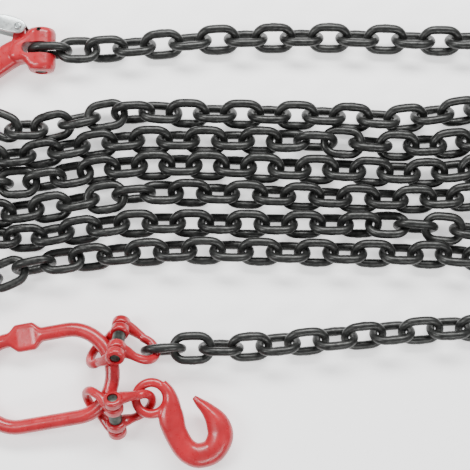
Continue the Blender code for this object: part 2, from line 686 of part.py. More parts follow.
def main():
    clear_scene()
    skins = {
        "chain": chain_steel(), "paint": red_paint(), "pin": pin_steel(),
        "sheet": zinc_sheet(), "spring": spring_steel()}
    _, last = chain(skins["chain"])
    connecting_link(
        "upper", ("master_half", "chain_half"), UPPER_PIN, UPPER_TILT, UPPER_SKEW,
        UPPER_DROPS, skins)
    connecting_link(
        "lower", ("master_half", "hook_half"), LOWER_PIN, LOWER_TILT, LOWER_SKEW,
        LOWER_DROPS, skins)
    master_link(skins["paint"])
    grab_hook(skins["paint"])
    hook = sling_hook_frame(last)
    sling_hook_body(hook, skins["paint"])
    clevis_pins(hook, skins["pin"])
    latch(hook, skins["sheet"])
    latch_pin(hook, skins["pin"])
    latch_spring(hook, skins["spring"])


main()
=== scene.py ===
"""Looks of the lifting chain sling: smooth links, forged red fittings and a sheet latch.

Lengths are metres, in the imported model's frame. The sizes at the top repeat the model's own.
"""
import math
import random

import bmesh
import bpy
from mathutils import Matrix, Vector


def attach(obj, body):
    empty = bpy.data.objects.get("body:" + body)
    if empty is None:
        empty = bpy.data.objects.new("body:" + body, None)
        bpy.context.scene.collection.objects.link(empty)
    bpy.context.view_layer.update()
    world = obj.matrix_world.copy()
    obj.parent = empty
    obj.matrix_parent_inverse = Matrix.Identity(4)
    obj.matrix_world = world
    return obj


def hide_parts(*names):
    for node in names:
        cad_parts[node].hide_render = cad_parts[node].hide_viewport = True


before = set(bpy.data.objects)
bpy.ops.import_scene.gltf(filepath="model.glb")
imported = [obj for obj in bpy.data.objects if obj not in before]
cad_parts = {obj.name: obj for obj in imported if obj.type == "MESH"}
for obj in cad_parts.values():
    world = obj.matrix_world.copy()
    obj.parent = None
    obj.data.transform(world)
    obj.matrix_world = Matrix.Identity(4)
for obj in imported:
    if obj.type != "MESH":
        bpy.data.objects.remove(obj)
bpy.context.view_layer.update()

UP = Vector((0.0, 0.0, 1.0))
HERE = Matrix.Identity(4)

# ---------------------------------------------------------------- the chain
WIRE_R = 0.00375  # radius of the chain wire
PITCH = 0.024  # inner length of a link under load
PITCH_SLACK = 0.0225  # distance between link joints where the chain turns sharply
LINK_WIDTH = 0.0204  # between the centres of a link's two side bars
LINK_LENGTH = 0.0321  # between the centres of a link's two crowns
LEAN = 42.5  # degrees, how far neighbouring links lean to either side
ROUTE_STEPS = 24  # points of the smooth route between two route points
HALVINGS = 30  # of the gap between two of those, to find a joint
SHIFT = Vector((-0.0052, -0.0057, 0.0007))  # puts the middle of the sling over the origin

# ---------------------------------------------------------------- connecting links
BOW_REACH = 0.034  # pin axis to the centre of the bow's crown
BOW_HALF = 0.0126  # half width of the bow between bar centres
EYE_R = 0.0080
EYE_INNER = (0.0061, 0.0148)  # from the middle of the pin, along it
EYE_OUTER = (0.0151, 0.0238)
PIN_R = 0.0040
PIN_LENGTH = 0.0455
PIN_BORE_R = 0.0044
SLEEVE_R = 0.0054
SLEEVE_LENGTH = 0.0114
UPPER_PIN = (-0.0966, -0.0893, 0.0257)
UPPER_TILT = 45.7  # degrees, the pin's -Y end is up
UPPER_SKEW = -3.5  # degrees about the vertical
UPPER_DROPS = (44.8, 23.0)  # the two halves, degrees below the horizontal
LOWER_PIN = (-0.0985, -0.1518, 0.0255)
LOWER_TILT = -49.6  # degrees, the pin's -Y end is down
LOWER_SKEW = 2.3
LOWER_DROPS = (42.4, 28.0)

# ---------------------------------------------------------------- master link
RING_R = 0.0062  # radius of the bar
RING_STRAIGHT = 0.050
RING_HALF_WIDTH = 0.0365  # to the centre of the bar
RING_CROWN = 0.0336  # depth of each curved end
RING_CENTRE = (-0.1598, -0.1211, 0.0130)
RING_YAW = 9.6  # degrees
RING_RISE = 5.5  # degrees, the end at the connecting links lies higher
PAD_AT = -0.0105  # middle of the pressed flat, along the link
PAD_HALF_LENGTH = 0.0115
PAD_HALF_WIDTH = 0.0118
PAD_HALF_THICK = 0.0038

# ---------------------------------------------------------------- grab hook
GRAB_EYE = (-0.0694, -0.1375, 0.0178)
GRAB_EYE_R = 0.013  # middle of the eye's rim
GRAB_RIM = (0.0040, 0.0050)  # half width in the plane, half thickness
GRAB_SLOPES = (-0.077, 0.020)  # rise per metre along +X and along +Y

# ---------------------------------------------------------------- sling hook
CLEVIS_EAR_R = 0.0120
CLEVIS_WIDTH = 0.039
CLEVIS_HALF_THICK = 0.0112
HOOK_TILT = 2.0  # degrees, the bowl lies lower than the pin
CLEVIS_PIN_R = 0.0050
CLEVIS_BORE_R = 0.0054
CLEVIS_PIN_LENGTH = 0.0372
LINK_TO_PIN = 0.00915  # centre of the last link's crown to the clevis pin's axis
ROLL_PIN_R = 0.0016
ROLL_PIN_BORE_R = 0.0020
ROLL_PIN_LENGTH = 0.0236
ROLL_PIN_AT = (-0.0010, 0.0160)
SLOT_HALF = 0.0049
SLOT_DEPTH = 0.0158
LUG_HALF_THICK = 0.0030
LUG_OUTLINE = [
    (-0.0242, 0.0196), (-0.0265, 0.0060), (-0.0140, 0.0100), (-0.0150, 0.0196),
    (-0.0164, 0.0228), (-0.0196, 0.0242), (-0.0228, 0.0228),
]

# ---------------------------------------------------------------- latch
LATCH_PIVOT = (-0.0196, 0.0196)  # in the sling hook's plane, from the clevis pin
LATCH_HALF_THICK = 0.0087
LATCH_SHEET = 0.0015
LATCH_BORE_R = 0.0026
LATCH_PIN_R = 0.0022
LATCH_PIN_HEAD = (0.0037, 0.0012)  # radius, height
LATCH_OUTLINE = [
    (-0.0132, 0.0190), (-0.0148, 0.0240), (-0.0210, 0.0274), (-0.0300, 0.0300),
    (-0.0420, 0.0316), (-0.0530, 0.0318), (-0.0545, 0.0290), (-0.0530, 0.0250),
    (-0.0450, 0.0200), (-0.0330, 0.0160), (-0.0215, 0.0134), (-0.0160, 0.0143),
]
LATCH_CAVITY = [
    (-0.0100, 0.0140), (-0.0100, 0.0190), (-0.0160, 0.0229), (-0.0215, 0.0257),
    (-0.0304, 0.0284), (-0.0422, 0.0300), (-0.0600, 0.0302), (-0.0600, 0.0100),
    (-0.0300, 0.0100),
]
SPRING_WIRE_R = 0.0005
SPRING_R = 0.0034
SPRING_TURNS = 2.5
SPRING_Z = (0.0039, 0.0064)

# The chain's route in plan: sections of (x, y, twist in degrees), with the joint spacing.
ROUTE = [
    ("bottom_run", 0.0241, [
        (-0.0720, -0.0980, 36), (-0.0350, -0.0956, 54), (-0.0110, -0.0960, 68),
        (0.0120, -0.0950, 80), (0.0600, -0.0905, 85), (0.1090, -0.0855, 85),
        (0.1570, -0.0810, 85)]),
    ("turn_1", 0.0230, [
        (0.2100, -0.0790, 85), (0.2515, -0.0860, 90), (0.2745, -0.0600, 95),
        (0.2515, -0.0318, 95)]),
    ("row_6", PITCH, [
        (0.2000, -0.0190, 95), (0.1400, -0.0165, 95), (0.0800, -0.0155, 95),
        (0.0200, -0.0145, 95), (-0.0400, -0.0135, 95), (-0.0900, -0.0160, 95),
        (-0.1300, -0.0200, 95)]),
    ("turn_2", PITCH_SLACK, [
        (-0.1830, -0.0290, 50), (-0.2250, -0.0480, 60), (-0.2545, -0.0430, 70),
        (-0.2640, -0.0260, 80), (-0.2520, -0.0075, 85), (-0.2225, -0.0030, 85)]),
    ("row_5", 0.0238, [
        (-0.1750, -0.0030, 85), (-0.1300, 0.0045, 85), (-0.0900, 0.0095, 85),
        (-0.0400, 0.0100, 85), (0.0200, 0.0092, 85), (0.0800, 0.0090, 85),
        (0.1300, 0.0085, 100), (0.1740, 0.0055, 155)]),
    ("turn_3", PITCH_SLACK, [
        (0.2210, 0.0010, 165), (0.2535, -0.0020, 150), (0.2695, 0.0180, 130),
        (0.2535, 0.0390, 110), (0.2240, 0.0350, 100)]),
    ("row_4", 0.0240, [
        (0.1760, 0.0310, 95), (0.1290, 0.0305, 95), (0.0560, 0.0330, 95),
        (-0.0160, 0.0355, 95), (-0.0640, 0.0365, 90), (-0.1110, 0.0322, 30),
        (-0.1560, 0.0240, 5)]),
    ("turn_4", PITCH_SLACK, [
        (-0.1960, 0.0184, 5), (-0.2370, 0.0195, 5), (-0.2650, 0.0100, 10),
        (-0.2885, 0.0146, 22), (-0.2960, 0.0315, 20), (-0.2880, 0.0490, 30),
        (-0.2650, 0.0530, 40), (-0.2370, 0.0452, 45)]),
    ("row_3", 0.0234, [
        (-0.1880, 0.0443, 45), (-0.1590, 0.0481, 20), (-0.1160, 0.0563, -5),
        (-0.0720, 0.0600, -5), (-0.0240, 0.0600, -5), (0.0460, 0.0570, -5),
        (0.0940, 0.0560, -5), (0.1400, 0.0535, -5)]),
    ("turn_5", PITCH_SLACK, [
        (0.1860, 0.0545, -5), (0.2360, 0.0630, -5), (0.2740, 0.0540, 0),
        (0.3000, 0.0580, 0), (0.3090, 0.0765, 0), (0.3000, 0.0950, 0),
        (0.2740, 0.0970, 0), (0.2380, 0.0880, 5)]),
    ("row_2", 0.0236, [
        (0.1850, 0.0790, 5), (0.1390, 0.0770, 5), (0.0930, 0.0800, 35),
        (0.0460, 0.0815, 90), (-0.0240, 0.0818, 95), (-0.0940, 0.0815, 95),
        (-0.1410, 0.0748, 95)]),
    ("turn_6", PITCH_SLACK, [
        (-0.1890, 0.0665, 95), (-0.2240, 0.0668, 105), (-0.2540, 0.0718, 120),
        (-0.2645, 0.0890, 135), (-0.2540, 0.1056, 150), (-0.2240, 0.1038, 165)]),
    ("row_1", 0.0235, [
        (-0.1830, 0.0899, 175), (-0.1380, 0.0985, 170), (-0.0920, 0.1065, 110),
        (-0.0450, 0.1058, 85), (0.0270, 0.1046, 85), (0.0980, 0.1025, 85),
        (0.1330, 0.0998, 85)]),
    ("turn_7", 0.0230, [
        (0.1870, 0.1068, 85), (0.2310, 0.1160, 90), (0.2535, 0.1420, 95),
        (0.2330, 0.1680, 95)]),
    ("top_run", 0.0243, [
        (0.1790, 0.1700, 95), (0.1290, 0.1715, 95), (0.0810, 0.1728, 95),
        (0.0330, 0.1726, 95), (-0.0170, 0.1713, 95), (-0.0650, 0.1670, 95),
        (-0.1120, 0.1627, 85), (-0.1610, 0.1610, 47.5), (-0.1910, 0.1610, 47.5)]),
]


def curve_weights(f):
    """Catmull-Rom weights of four knots, a share f of the way between the middle two."""
    return (
        (-f + 2 * f**2 - f**3) / 2, (2 - 5 * f**2 + 3 * f**3) / 2,
        (f + 4 * f**2 - 3 * f**3) / 2, (f**3 - f**2) / 2)


def smooth_route():
    """Dense (x, y, twist, section, spacing) points on a smooth curve through ROUTE."""
    knots = [(*point, name, gap) for name, gap, points in ROUTE for point in points]
    dense = []
    for i in range(len(knots) - 1):
        near = [knots[max(i - 1, 0)], knots[i], knots[i + 1], knots[min(i + 2, len(knots) - 1)]]
        for k in range(ROUTE_STEPS):
            f = k / ROUTE_STEPS
            weights = curve_weights(f)
            x = sum(w * knot[0] for w, knot in zip(weights, near))
            y = sum(w * knot[1] for w, knot in zip(weights, near))
            twist = near[1][2] * (1 - f) + near[2][2] * f
            dense.append((x, y, twist, *near[1][3:]))
    return dense + [knots[-1]]


def chain_joints():
    """The points where neighbouring links meet, one spacing apart along the route."""
    dense = smooth_route()
    found = [dense[0]]
    for start, end in zip(dense, dense[1:]):
        while math.dist(end[:2], found[-1][:2]) >= found[-1][4]:
            near, far = 0.0, 1.0
            for _ in range(HALVINGS):
                middle = (near + far) / 2
                spot = [start[k] + (end[k] - start[k]) * middle for k in range(3)]
                if math.dist(spot[:2], found[-1][:2]) < found[-1][4]:
                    near = middle
                else:
                    far = middle
            found.append((*spot, *start[3:]))
    return found


def chain_links():
    """Every link: its section, its two joints, its direction, and the way its width lies."""
    joints = chain_joints()
    rolls = []
    for i in range(len(joints) - 1):
        lean = LEAN if i % 2 == 0 else -LEAN
        rolls.append(math.radians(lean + (joints[i][2] + joints[i + 1][2]) / 2))
    heights = [WIRE_R + LINK_WIDTH / 2 * abs(math.sin(roll)) for roll in rolls]
    points = []
    for i, joint in enumerate(joints):
        height = max(heights[max(i - 1, 0)], heights[min(i, len(heights) - 1)])
        points.append(Vector((joint[0], joint[1], height)) + SHIFT)
    links = []
    for i, roll in enumerate(rolls):
        along = (points[i + 1] - points[i]).normalized()
        side = UP.cross(along).normalized()
        over = along.cross(side)
        width = side * math.cos(roll) + over * math.sin(roll)
        links.append((joints[i][3], points[i], points[i + 1], along, width))
    return links


def pin_axes(tilt, skew, drop, side):
    """Directions of a connecting link's half: outwards, and along the pin."""
    tilt, turn, fall = math.radians(tilt), math.radians(skew), math.radians(drop)
    pin = Vector((
        math.sin(turn) * math.cos(tilt), -math.cos(turn) * math.cos(tilt), math.sin(tilt)))
    level = Vector((math.cos(turn), math.sin(turn), 0.0)) * side
    level = (level - pin * level.dot(pin)).normalized()
    down = pin.cross(level)
    if down.z > 0:
        down = -down
    return level * math.cos(fall) + down * math.sin(fall), pin


# ---------------------------------------------------------------- finer shapes
LINK_SIDES = 14
LINK_ARC = 14  # stations round each crown
CROWN_WEAR = 0.08  # share of the wire's thickness worn off at the crowns
RUBBED_FROM = 0.55  # where on a crown the polish begins: 0 is at its side, 1 at its tip
LINK_BULGE = 0.0002  # how far the middle of a side stands out
# Stations (place along a side, share of the wire's radius) of the welded and the plain side.
WELD = [(-0.0034, 1.0), (-0.0024, 1.04), (-0.0011, 1.065), (0.0, 1.03), (0.0011, 1.065),
        (0.0024, 1.04), (0.0034, 1.0)]
PLAIN = [(-0.003, 1.0), (0.0, 0.99), (0.003, 1.0)]
FORGED_VOXEL = 0.00055
FORGED_SMOOTHING = 7
HOOK_VOXEL = 0.0006
GRAB_SMOOTHING = 6
SLING_SMOOTHING = 8
ROUND_SIDES = 40
HOOK_SIDES = 28
DRILL_LENGTH = 0.06
DRILL_CHAMFER = 0.0001
PILE_SEED = 8  # for the links' tones and which way each lies


def axes_at(origin, x_axis, y_axis):
    """A matrix at origin with the given X direction, and Y as near y_axis as it can be."""
    x = Vector(x_axis).normalized()
    y = Vector(y_axis)
    y = (y - x * y.dot(x)).normalized()
    z = x.cross(y)
    rows = [(x[i], y[i], z[i], origin[i]) for i in range(3)]
    return Matrix(rows + [(0.0, 0.0, 0.0, 1.0)])


def rings_to_mesh(bm, rings, closed):
    """Adds a solid through rings of points to bm, joined end to end or capped."""
    loops = [[bm.verts.new(point) for point in ring] for ring in rings]
    count = len(loops[0])
    pairs = list(zip(loops, loops[1:]))
    if closed:
        pairs.append((loops[-1], loops[0]))
    for first, second in pairs:
        for k in range(count):
            nxt = (k + 1) % count
            bm.faces.new((first[k], first[nxt], second[nxt], second[k]))
    if not closed:
        bm.faces.new(loops[0])
        bm.faces.new(loops[-1])


def sweep(rings, closed):
    """A solid through rings of points."""
    bm = bmesh.new()
    rings_to_mesh(bm, rings, closed)
    bmesh.ops.recalc_face_normals(bm, faces=bm.faces)
    return bm


def smooth_path(knots, steps, closed=False):
    """A Catmull-Rom curve through tuples of any length."""
    count = len(knots)
    found = []
    for i in range(count if closed else count - 1):
        if closed:
            near = [knots[(i + k) % count] for k in (-1, 0, 1, 2)]
        else:
            near = [knots[max(i - 1, 0)], knots[i], knots[i + 1], knots[min(i + 2, count - 1)]]
        for k in range(steps):
            f = k / steps
            weights = curve_weights(f)
            found.append(tuple(
                sum(w * knot[n] for w, knot in zip(weights, near)) for n in range(len(knots[0]))))
    if not closed:
        found.append(tuple(knots[-1]))
    return found


def tube_rings(path, radii, sides, up, closed=False, square=1.0):
    """Rings round a path; radii are (across, along up); square below 1 makes boxier sections."""
    rings = []
    squares = square if isinstance(square, list) else [square] * len(path)
    last = len(path) - 1
    for i, here in enumerate(path):
        before = path[i - 1] if i > 0 or closed else here
        after = path[(i + 1) % len(path)] if i < last or closed else here
        along = (after - before).normalized()
        across = along.cross(up).normalized()
        over = across.cross(along).normalized()
        wide, thick = radii[i]
        ring = []
        for k in range(sides):
            angle = math.tau * (k + 0.5) / sides
            c, s = math.cos(angle), math.sin(angle)
            c = math.copysign(abs(c) ** squares[i], c)
            s = math.copysign(abs(s) ** squares[i], s)
            ring.append(here + across * (wide * c) + over * (thick * s))
        rings.append(ring)
    return rings


def turned(profile, sides, axis="Z"):
    """A solid turned from (radius, place along the axis) points; both ends are capped."""
    rings = []
    for r, z in profile:
        ring = []
        for k in range(sides):
            a = math.tau * k / sides
            x, y = r * math.cos(a), r * math.sin(a)
            ring.append(Vector((x, z, y) if axis == "Y" else (x, y, z)))
        rings.append(ring)
    return sweep(rings, closed=False)


def rod(radius, length, chamfer, axis="Z", sides=ROUND_SIDES):
    """A round bar with chamfered ends."""
    half = length / 2
    profile = [
        (radius - chamfer, -half), (radius - chamfer * 0.3, -half + chamfer * 0.3),
        (radius, -half + chamfer), (radius, half - chamfer),
        (radius - chamfer * 0.3, half - chamfer * 0.3), (radius - chamfer, half)]
    return turned(profile, sides, axis)


def drill(radius, length=DRILL_LENGTH, axis="Z", spot=(0.0, 0.0)):
    """A cutter for a round hole, and the matrix that places it."""
    return rod(radius, length, DRILL_CHAMFER, axis), Matrix.Translation((*spot, 0.0))


def bush(outer, inner, length, chamfer, sides=ROUND_SIDES, slit=0.0):
    """A tube along Y with rounded rims, open along a slit if slit is its angle."""
    half = length / 2
    profile = [
        (outer, -half + chamfer), (outer, half - chamfer), (outer - chamfer, half),
        (inner + chamfer / 2, half), (inner, half - chamfer / 2), (inner, -half + chamfer / 2),
        (inner + chamfer / 2, -half), (outer - chamfer, -half)]
    rings = []
    for k in range(sides):
        span = math.tau - slit
        angle = slit / 2 + span * k / (sides if slit == 0.0 else sides - 1)
        rings.append([Vector((r * math.cos(angle), y, r * math.sin(angle))) for r, y in profile])
    return sweep(rings, closed=slit == 0.0)


def plate(outline, half_thick, rounding, segments=3):
    """A plate with the given outline in its XY plane and rounded edges."""
    bm = bmesh.new()
    loops = []
    for z in (-half_thick, half_thick):
        loops.append([bm.verts.new((x, y, z)) for x, y in outline])
    count = len(outline)
    for k in range(count):
        nxt = (k + 1) % count
        bm.faces.new((loops[0][k], loops[0][nxt], loops[1][nxt], loops[1][k]))
    caps = [bm.faces.new(loops[0]), bm.faces.new(loops[1])]
    bmesh.ops.recalc_face_normals(bm, faces=bm.faces)
    if rounding > 0:
        edges = list({edge for cap in caps for edge in cap.edges})
        bmesh.ops.bevel(
            bm, geom=edges, offset=rounding, segments=segments, affect="EDGES", profile=0.5)
    return bm


def joined(parts):
    """One bmesh from several, each with the matrix that places it."""
    whole = bmesh.new()
    for part, matrix in parts:
        part.transform(matrix)
        mesh = bpy.data.meshes.new("part")
        part.to_mesh(mesh)
        part.free()
        whole.from_mesh(mesh)
        bpy.data.meshes.remove(mesh)
    return whole


def helper(name, bm):
    """An object that modifiers work on and that is removed again."""
    mesh = bpy.data.meshes.new(name)
    bm.to_mesh(mesh)
    bm.free()
    item = bpy.data.objects.new(name, mesh)
    bpy.context.scene.collection.objects.link(item)
    return item


def cut_out(raw, cuts):
    """The shape of raw's modifiers, with every one of the placed cuts taken out of it."""
    tools = []
    for bm, matrix in cuts:
        bm.transform(matrix)
        tool = helper("cutter", bm)
        tools.append(tool)
        step = raw.modifiers.new("cut", "BOOLEAN")
        step.operation = "DIFFERENCE"
        step.object = tool
    shaped = bpy.data.meshes.new_from_object(
        raw.evaluated_get(bpy.context.evaluated_depsgraph_get()))
    left = bmesh.new()
    left.from_mesh(shaped)
    bpy.data.meshes.remove(shaped)
    for item in [raw, *tools]:
        bpy.data.objects.remove(item, do_unlink=True)
    return left


def forged(parts, cuts, voxel=FORGED_VOXEL, smoothing=FORGED_SMOOTHING):
    """A forging: the parts grown together with soft fillets, then cut to size by the cuts."""
    raw = helper("raw_forging", joined(parts))
    grow = raw.modifiers.new("grow", "REMESH")
    grow.mode = "VOXEL"
    grow.voxel_size = voxel
    ease = raw.modifiers.new("ease", "SMOOTH")
    ease.factor = 0.5
    ease.iterations = smoothing
    return cut_out(raw, cuts)


def show(name, bm, skin, body, nodes, matrix=None, sharp=35):
    """Makes a visible piece from bm that rides on a body and stands for CAD nodes."""
    if matrix is not None:
        bm.transform(matrix)
    bmesh.ops.recalc_face_normals(bm, faces=bm.faces)
    mesh = bpy.data.meshes.new(name)
    bm.to_mesh(mesh)
    bm.free()
    mesh.polygons.foreach_set("use_smooth", [True] * len(mesh.polygons))
    mesh.set_sharp_from_angle(angle=math.radians(sharp))
    mesh.materials.append(skin)
    item = bpy.data.objects.new(name, mesh)
    bpy.context.scene.collection.objects.link(item)
    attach(item, body)
    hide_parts(*nodes)


# ---------------------------------------------------------------- materials
RIVET_DARK = (0.30, 0.33, 0.33)
CHAIN_DARK = (0.015, 0.015, 0.015)
CHAIN_MID = (0.030, 0.031, 0.030)
CHAIN_LIGHT = (0.052, 0.053, 0.051)
CHAIN_WORN = (0.11, 0.11, 0.105)
PAINT_DEEP = (0.30, 0.005, 0.011)
PAINT_LIGHT = (0.44, 0.009, 0.019)
PAINT_CHIP = (0.15, 0.006, 0.009)
PIN_DARK = (0.030, 0.038, 0.032)
PIN_LIGHT = (0.075, 0.085, 0.075)
ZINC_DARK = (0.48, 0.52, 0.52)
ZINC_LIGHT = (0.66, 0.70, 0.69)
SPRING_DARK = (0.24, 0.24, 0.25)
SPRING_LIGHT = (0.42, 0.42, 0.42)


def new_material(name):
    """A material, its node tree and its shader."""
    made = bpy.data.materials.new(name)
    made.use_nodes = True
    return made, made.node_tree, made.node_tree.nodes["Principled BSDF"]


def add(tree, kind, **values):
    """A node with its settings and the values of its inputs."""
    made = tree.nodes.new(kind)
    for key, value in values.items():
        if key in made.inputs:
            made.inputs[key].default_value = value
        else:
            setattr(made, key, value)
    return made


def noise(tree, scale, detail=3.0, rough=0.5):
    """A noise in the piece's own coordinates; scale is per metre."""
    place = add(tree, "ShaderNodeTexCoord")
    made = add(tree, "ShaderNodeTexNoise", Scale=scale, Detail=detail, Roughness=rough)
    tree.links.new(place.outputs["Object"], made.inputs["Vector"])
    return made.outputs["Fac"]


def ramp(tree, source, low, high, start=0.0, end=1.0):
    """Maps a value between two limits to a range."""
    made = add(tree, "ShaderNodeMapRange")
    made.inputs["From Min"].default_value = low
    made.inputs["From Max"].default_value = high
    made.inputs["To Min"].default_value = start
    made.inputs["To Max"].default_value = end
    tree.links.new(source, made.inputs["Value"])
    return made.outputs["Result"]


def shine(tree, shader, source, low, high):
    """Lets a noise move the roughness between two values."""
    tree.links.new(ramp(tree, source, 0.3, 0.7, low, high), shader.inputs["Roughness"])


def mix(tree, factor, first, second):
    """Mixes two colours, either of which may be a node's output."""
    made = add(tree, "ShaderNodeMix", data_type="RGBA")
    tree.links.new(factor, made.inputs["Factor"])
    for socket, colour in ((made.inputs["A"], first), (made.inputs["B"], second)):
        if isinstance(colour, tuple):
            socket.default_value = (*colour, 1.0)
        else:
            tree.links.new(colour, socket)
    return made.outputs["Result"]


def bump(tree, shader, layers):
    """Stacks bumps of (height, strength, depth in metres)."""
    normal = None
    for height, strength, depth in layers:
        made = add(tree, "ShaderNodeBump", Strength=strength, Distance=depth)
        tree.links.new(height, made.inputs["Height"])
        if normal is not None:
            tree.links.new(normal, made.inputs["Normal"])
        normal = made.outputs["Normal"]
    tree.links.new(normal, shader.inputs["Normal"])


def chain_steel():
    """Quenched and tempered chain: near-black scale, polished where links rub."""
    made, tree, shader = new_material("chain_steel")
    tint = add(tree, "ShaderNodeAttribute", attribute_name="tint")
    parts = add(tree, "ShaderNodeSeparateColor")
    tree.links.new(tint.outputs["Color"], parts.inputs["Color"])
    mottle = ramp(tree, noise(tree, 260.0, 4.0, 0.6), 0.35, 0.7)
    base = mix(tree, parts.outputs["Red"], CHAIN_DARK, CHAIN_MID)
    base = mix(tree, mottle, base, CHAIN_LIGHT)
    base = mix(tree, parts.outputs["Green"], base, CHAIN_WORN)
    tree.links.new(base, shader.inputs["Base Color"])
    shader.inputs["Metallic"].default_value = 0.75
    shine(tree, shader, noise(tree, 420.0), 0.30, 0.46)
    bump(tree, shader, [
        (noise(tree, 520.0, 4.0, 0.6), 0.5, 0.00012), (noise(tree, 2600.0, 2.0), 0.35, 0.00003)])
    return made


def red_paint():
    """Thick glossy powder coat over a rough forging, with a few small chips."""
    made, tree, shader = new_material("red_paint")
    cloud = ramp(tree, noise(tree, 55.0, 3.0), 0.3, 0.7)
    speck = ramp(tree, noise(tree, 700.0, 2.0), 0.72, 0.80)
    base = mix(tree, cloud, PAINT_DEEP, PAINT_LIGHT)
    base = mix(tree, speck, base, PAINT_CHIP)
    tree.links.new(base, shader.inputs["Base Color"])
    shine(tree, shader, noise(tree, 240.0), 0.24, 0.40)
    shader.inputs["Coat Weight"].default_value = 0.25
    shader.inputs["Coat Roughness"].default_value = 0.18
    bump(tree, shader, [
        (noise(tree, 130.0, 3.0, 0.55), 0.45, 0.0005), (noise(tree, 900.0, 2.0), 0.25, 0.00008)])
    return made


def mottled_metal(name, dark, light, metallic, cloud, uneven, grain):
    """A metal with a clouded colour (ramped noise), uneven shine and a fine grain.

    cloud is (scale, detail, low); uneven is (scale, smoothest, roughest); grain is (scale,
    strength).
    """
    made, tree, shader = new_material(name)
    base = mix(tree, ramp(tree, noise(tree, *cloud[:2]), cloud[2], 0.7), dark, light)
    tree.links.new(base, shader.inputs["Base Color"])
    shader.inputs["Metallic"].default_value = metallic
    shine(tree, shader, noise(tree, uneven[0]), *uneven[1:])
    bump(tree, shader, [(noise(tree, grain[0], 2.0), grain[1], 0.00004)])
    return made


def pin_steel():
    """Dark oiled steel of the load pins, sleeves and the clevis pin."""
    return mottled_metal(
        "pin_steel", PIN_DARK, PIN_LIGHT, 0.8, (300.0, 3.0, 0.35), (600.0, 0.34, 0.5),
        (1500.0, 0.3))


def zinc_sheet():
    """Zinc-plated pressed sheet with a faint cloudy spangle."""
    return mottled_metal(
        "zinc_sheet", ZINC_DARK, ZINC_LIGHT, 0.85, (120.0, 4.0, 0.3), (320.0, 0.26, 0.42),
        (900.0, 0.25))


def rivet_steel():
    """Plated steel of the latch's rivet, a little darker than the sheet."""
    return mottled_metal(
        "rivet_steel", RIVET_DARK, ZINC_DARK, 0.85, (600.0, 3.0, 0.35), (900.0, 0.28, 0.44),
        (1800.0, 0.25))


def spring_steel():
    """Bright drawn wire."""
    made, tree, shader = new_material("spring_steel")
    base = mix(tree, noise(tree, 500.0), SPRING_DARK, SPRING_LIGHT)
    tree.links.new(base, shader.inputs["Base Color"])
    shader.inputs["Metallic"].default_value = 1.0
    shader.inputs["Roughness"].default_value = 0.3
    bump(tree, shader, [(noise(tree, 2500.0), 0.2, 0.00002)])
    return made


# ---------------------------------------------------------------- chain pieces
def link_stations():
    """(centre, outwards, scale, wear) round a link, with X along it and Y across it."""
    half = LINK_WIDTH / 2
    straight = (LINK_LENGTH - LINK_WIDTH) / 2
    stations = []
    for side, bar in ((1, WELD), (-1, PLAIN)):
        for x, scale in bar:
            bulge = LINK_BULGE * (1 + math.cos(math.pi * x / straight)) / 2
            centre = Vector((side * x, side * (half + bulge), 0.0))
            stations.append((centre, Vector((0.0, side, 0.0)), scale, 0.0))
        for k in range(LINK_ARC + 1):
            angle = side * math.pi / 2 - math.pi * k / LINK_ARC
            out = Vector((math.cos(angle), math.sin(angle), 0.0))
            centre = Vector((side * straight, 0.0, 0.0)) + out * half
            wear = max(0.0, abs(out.x) - RUBBED_FROM)
            stations.append((centre, out, 1.0 - CROWN_WEAR * abs(out.x), wear))
    return stations


def link_mesh(bm, tint, matrix, tone):
    """Adds one welded link to bm, with its tone and its rubbed crowns in the tint layer."""
    start = len(bm.verts)
    rings, wears = [], []
    for centre, out, scale, wear in link_stations():
        ring = []
        for n in range(LINK_SIDES):
            turn = math.tau * n / LINK_SIDES
            offset = out * math.cos(turn) + UP * math.sin(turn)
            ring.append(matrix @ (centre + offset * (WIRE_R * scale)))
            wears.append(wear * max(0.0, -math.cos(turn)))
        rings.append(ring)
    rings_to_mesh(bm, rings, closed=True)
    bm.verts.ensure_lookup_table()
    for vert, wear in zip(bm.verts[start:], wears):
        vert[tint] = (tone, wear, 0.0, 1.0)


def chain_piece(name, links, skin, body, dice):
    """One free link, or all the links of a laid row or turn."""
    bm = bmesh.new()
    tint = bm.verts.layers.float_color.new("tint")
    for _, start, end, along, width in links:
        ahead = dice.choice((-1, 1))
        over = dice.choice((-1, 1))
        matrix = axes_at((start + end) / 2, along * ahead, width * over)
        link_mesh(bm, tint, matrix, dice.random())
    show(name + "_steel", bm, skin, body, [name])


def chain(skin):
    """Every link of the chain. Gives back the last one."""
    dice = random.Random(PILE_SEED)
    links = chain_links()
    runs = {"bottom_run": "bottom_link", "top_run": "top_link"}
    for section, _, _ in ROUTE:
        found = [link for link in links if link[0] == section]
        if section not in runs:
            chain_piece(section, found, skin, "pile", dice)
            continue
        for i, link in enumerate(found):
            name = f"{runs[section]}_{i + 1:02d}"
            chain_piece(name, [link], skin, name, dice)
    return links[-1]


# ---------------------------------------------------------------- connecting links
BOW_EYE_SIZE = (0.0040, 0.0066)  # in the bow's plane, and through it, at the eyes
BOW_SHOULDER = (0.0042, 0.0060)
BOW_CROWN = (0.0037, 0.0039)
BOW_SIDES = 20
BOW_SHOULDER_AT = 0.0080  # from the pin's axis
BOW_OUTER_DRAW = 0.0012  # how far the outer limb leans in by its shoulder
BOW_INNER_DRAW = -0.0003
BOW_OUTER_LIMB = (0.0145, 0.0030)  # across from the middle, and short of the crown's centre
BOW_INNER_LIMB = (0.0124, 0.0060)
EYE_EASE = 0.0006  # the eyes' faces stand a little apart
EYE_CHAMFER = 0.0018
PIN_CHAMFER = 0.0007
SLEEVE_CHAMFER = 0.0005
SLEEVE_SLIT = 0.35  # radians


